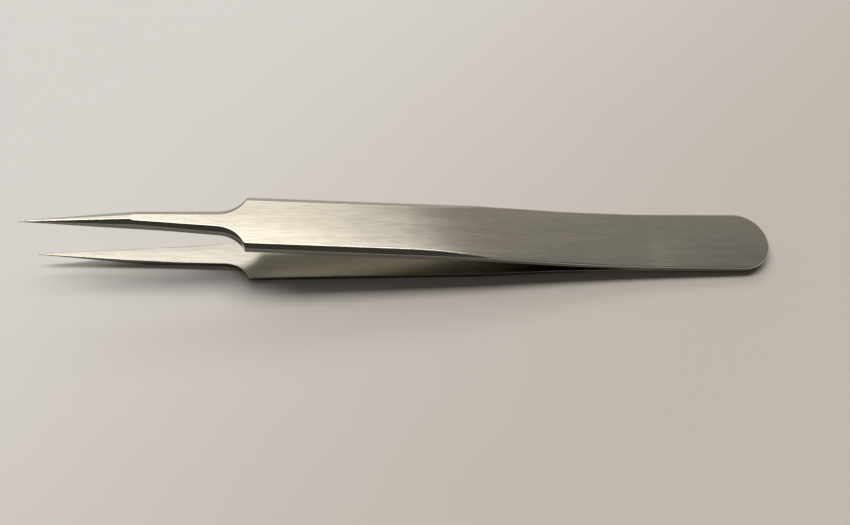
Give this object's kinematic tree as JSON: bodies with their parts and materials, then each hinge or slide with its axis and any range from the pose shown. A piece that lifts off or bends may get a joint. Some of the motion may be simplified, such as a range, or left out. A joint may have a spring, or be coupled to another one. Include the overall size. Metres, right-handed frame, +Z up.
{
  "type": "watchmaker tweezers",
  "caption": "Straight fine-point steel tweezers: two sprung arms joined at a round butt, with bevelled grips, shoulders and slender ground prongs, lying on one side",
  "frame": {"origin": "on the surface that the tweezers lie on, under the middle of their length and width", "axes": "+Z up, away from the surface; tips towards -X and butt towards +X; +Y across the arms"},
  "size_m": [0.11, 0.0096, 0.0122],
  "materials": {
    "satin_steel": "satin stainless steel with fine lengthwise grinding marks"
  },
  "bodies": {
    "root": {"lower_arm": "satin_steel", "upper_arm": "satin_steel"}
  },
  "joints": []
}
